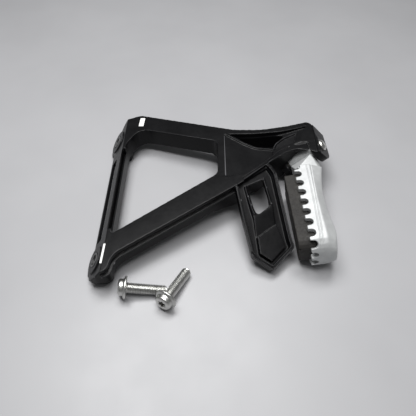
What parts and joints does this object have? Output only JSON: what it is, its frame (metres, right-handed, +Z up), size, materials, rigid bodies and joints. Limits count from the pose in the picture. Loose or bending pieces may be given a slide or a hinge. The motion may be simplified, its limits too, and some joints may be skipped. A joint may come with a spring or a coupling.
{
  "type": "folding motorcycle passenger foot peg with frame bracket",
  "caption": "Black cast bracket with a triangular opening, heel guard and folded serrated foot peg with rubber tread, beside loose flange bolts.",
  "frame": {"origin": "centre of the footprint on the table under the bracket, peg and loose bolts", "axes": "+X from the seats that meet the vehicle towards the hinge, +Y away from the heel guard, +Z up, off the table"},
  "size_m": [0.2048, 0.1961, 0.041],
  "materials": {
    "black_powder_coat": "satin black powder coat over cast aluminium",
    "cast_aluminium": "bead-blasted casting",
    "tread_rubber": "matte",
    "zinc_steel": "zinc plated",
    "bronze_bush": "machined"
  },
  "bodies": {
    "bracket": {"bracket_casting": "black_powder_coat", "seat_sleeve_1": "zinc_steel", "seat_sleeve_2": "zinc_steel", "hinge_pin": "zinc_steel", "pin_washer": "zinc_steel", "pin_retaining_clip": "zinc_steel", "detent_ball": "zinc_steel", "detent_spring": "zinc_steel"},
    "peg": {"peg_casting": "cast_aluminium", "tread_rubber": "tread_rubber", "tread_backing_plate": "zinc_steel", "tread_screw_1": "zinc_steel", "tread_screw_2": "zinc_steel", "tread_screw_washer_1": "zinc_steel", "tread_screw_washer_2": "zinc_steel", "hinge_bush_upper": "bronze_bush", "hinge_bush_lower": "bronze_bush", "thrust_washer_upper": "zinc_steel", "thrust_washer_lower": "zinc_steel"},
    "bolt_1": {"mount_bolt_1": "zinc_steel"},
    "bolt_2": {"mount_bolt_2": "zinc_steel"}
  },
  "joints": [
    {"name": "peg_fold", "type": "hinge", "parent": "bracket", "child": "peg", "pos_m": [0.0797, 0.0444, 0.0225], "axis": [0.7188, 0.0289, 0.6947], "range_deg": [0, 90]},
    {"name": "bolt_1_lift", "type": "slide", "parent": "bracket", "child": "bolt_1", "axis": [0, 0, 1], "range_m": [0, 0.1]},
    {"name": "bolt_2_lift", "type": "slide", "parent": "bracket", "child": "bolt_2", "axis": [0, 0, 1], "range_m": [0, 0.1]}
  ]
}
